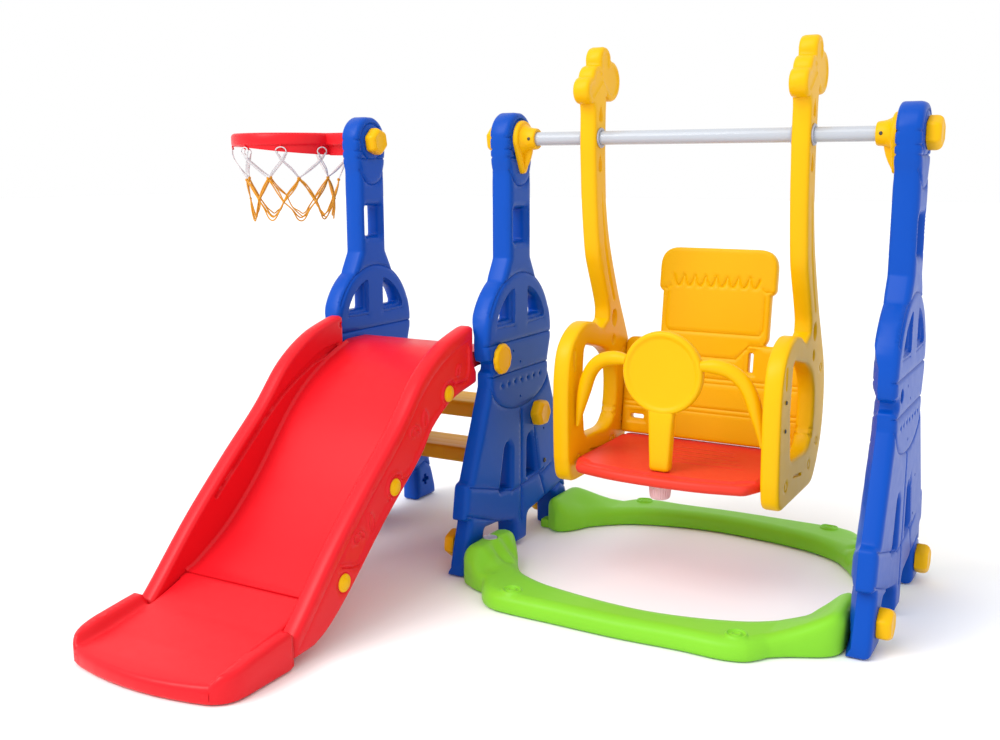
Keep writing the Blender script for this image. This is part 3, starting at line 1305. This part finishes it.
arm_outline = rounded(
    [
        (-515.4, -44, 5), (-515.4, 44, 5), (-536, 44, 10),
        *[tuple(HOOP_CENTRE + p) for p in arc((0, 0), 156, 16, -16, 12)], (-536, -44, 10)
    ]
)


def arm_top(points, drop):
    """A flat top, level with the band."""
    return HOOP_TOP - SKIRT_LOW - drop


def arm_under(points, drop):
    """The underside is deep along the middle and level with the band at the sides."""
    return drop + 27 * swell(np.abs(points[:, 1]), 26, 31)


arm_rows = [(np.array([(-600, y), (-516, y)]), 3) for y in (-28, 28)]
arm = moulding(
    "hoop_arm", arm_outline, [], lambda u, v, h: (u, v, SKIRT_LOW + h), arm_top, arm_under, (6, 5),
    arm_rows, 6,
)
hook_angles = [2 * math.pi * (k + 0.5) / HOOK_COUNT for k in range(HOOK_COUNT)]
hooks = []
for k, angle in enumerate(hook_angles):
    x, y = HOOP_CENTRE + 161.5 * np.array([math.cos(angle), math.sin(angle)])
    peg = [(2.6, 6), (2.6, -3), (3.8, -5), (3.8, -6.6), (2.6, -8), (0.4, -8.4)]
    hooks.append(turned(f"hook_{k}", peg, np.array([x, y, HOOP_BOTTOM]), Z_AXIS, 16))
hoop = joined("hoop_rim_moulding", hoop_ring(), arm, *hooks)
finish_piece(hoop, "frame", "red_plastic", red, "hoop_rim")

# The net is knotted from cord, white above and yellow below. White cords hang in pairs from the
# hooks, and cross on their way to a ring of knots. The yellow cords make open diamonds under it.


def cord_stuff(name, colour, dark):
    """Braided cord: a fine slanting twist in its colour and its surface."""
    made = bpy.data.materials.new(name)
    made.use_nodes = True
    nodes, links = made.node_tree.nodes, made.node_tree.links
    shader = nodes["Principled BSDF"]
    shader.inputs["Roughness"].default_value = 0.75
    shader.inputs["Sheen Weight"].default_value = 0.1
    place = nodes.new("ShaderNodeTexCoord")
    twist = nodes.new("ShaderNodeTexWave")
    twist.bands_direction = "DIAGONAL"
    twist.inputs["Scale"].default_value = 160
    twist.inputs["Distortion"].default_value = 1.5
    links.new(place.outputs["Object"], twist.inputs["Vector"])
    tone = nodes.new("ShaderNodeMix")
    tone.data_type = "RGBA"
    tone.inputs["A"].default_value = (*dark, 1)
    tone.inputs["B"].default_value = (*colour, 1)
    links.new(twist.outputs["Fac"], tone.inputs["Factor"])
    links.new(tone.outputs["Result"], shader.inputs["Base Color"])
    bump = nodes.new("ShaderNodeBump")
    bump.inputs["Strength"].default_value = 0.5
    bump.inputs["Distance"].default_value = 0.0006
    links.new(twist.outputs["Fac"], bump.inputs["Height"])
    links.new(bump.outputs["Normal"], shader.inputs["Normal"])
    return made


def strand(name, route, radius, sides=8):
    """A length of cord along a route."""
    route = np.array(route)
    heading = np.gradient(route, axis=0)
    rings = []
    for place, along in zip(route, heading):
        along = along / np.linalg.norm(along)
        across = np.cross(along, Z_AXIS + 0.2 * X_AXIS)
        across /= np.linalg.norm(across)
        over = np.cross(along, across)
        rings.append([place + radius * (math.cos(a) * across + math.sin(a) * over)
                      for a in np.linspace(0, 2 * math.pi, sides, endpoint=False)])
    return loft(name, rings)


shake = np.random.default_rng(7)
HALF_STEP = math.pi / HOOK_COUNT
KNOT_LOOSE = shake.normal(0, 1, (4, 2 * HOOK_COUNT, 3)) * (0.09, 2.0, 4.5)


def net_place(steps, radius, height, row=None):
    """A place on the net, at a number of half steps round from the first hook. A row of knots is uneven."""
    if row is not None:
        turn, outward, upward = KNOT_LOOSE[row, round(steps) % (2 * HOOK_COUNT)]
        steps, radius, height = steps + turn, radius + outward, height + upward
    angle = hook_angles[0] + steps * HALF_STEP
    return np.array([*(HOOP_CENTRE + radius * np.array([math.cos(angle), math.sin(angle)])), height])


def doubled(cords, name, route, apart, radius):
    """Two cords side by side along a route, closest at its ends."""
    route = curve(route, 28)
    aside = np.cross(Z_AXIS, route - np.array([*HOOP_CENTRE, 0]))
    aside /= np.linalg.norm(aside, axis=1)[:, None]
    spread = apart * np.sin(np.linspace(0.25, math.pi - 0.15, len(route)))[:, None]
    for pair in (-1, 1):
        cords.append(strand(f"{name}_{pair + 1}", route + pair * spread * aside, radius))


white_cords, yellow_cords = [], []
for k in range(0, 2 * HOOK_COUNT, 2):
    loop = [
        net_place(k + 0.25 * math.sin(a), 163.5, 1034 + 11 * math.cos(a))
        for a in np.linspace(-2.2, 2.2, 16)
    ]
    white_cords.append(strand(f"hook_loop_{k}", loop, 1.6))
    for side in (-1, 1):
        leg = [
            net_place(k - side * 0.2, 163.5, 1030), net_place(k, 157, 1011),
            net_place(k + side * 0.5, 143, 985),
            net_place(k + side, 130, 962, 0),
        ]
        doubled(white_cords, f"white_leg_{k}_{side + 1}", leg, 3.0, 1.5)
        leg = [
            net_place(k + side, 130, 960, 0), net_place(k + side * 0.62, 127, 938), net_place(k, 121, 905, 1),
        ]
        doubled(yellow_cords, f"yellow_leg_{k}_{side + 1}", leg, 3.4, 1.9)
    for slack, inward in ((0, 0), (9, 4)):
        swag = [
            net_place(k, 121, 905, 1), net_place(k + 0.38, 118 - inward, 878),
            net_place(k + 0.72, 115 - inward, 854 + slack, 2), net_place(k + 1, 114 - inward, 847 + slack, 2),
            net_place(k + 1.28, 115 - inward, 854 + slack, 2), net_place(k + 1.62, 118 - inward, 878),
            net_place(k + 2, 121, 905, 1),
        ]
        yellow_cords.append(strand(f"swag_{k}_{slack}", curve(swag, 36), 1.9))
    for row, steps, radius, height, size in ((0, k + 1, 130, 961, 5.2), (1, k, 121, 905, 4.2)):
        knot = [
            (0.4, -size), (size * 0.7, -size * 0.6), (size * 0.9, 0), (size * 0.7, size * 0.6), (0.4, size)
        ]
        yellow_cords.append(
            turned(f"knot_{row}_{k}", knot, net_place(steps, radius, height, row), Z_AXIS, 12)
        )

white_cord = cord_stuff("white_braided_cord", (0.80, 0.80, 0.80), (0.50, 0.50, 0.52))
yellow_cord = cord_stuff("yellow_braided_cord", (0.85, 0.40, 0.005), (0.50, 0.17, 0.0))
finish_piece(joined("net_white_cords", *white_cords), "frame", "net_cord", white_cord, "hoop_net")
finish_piece(joined("net_yellow_cords", *yellow_cords), "frame", "net_cord", yellow_cord, "hoop_net")
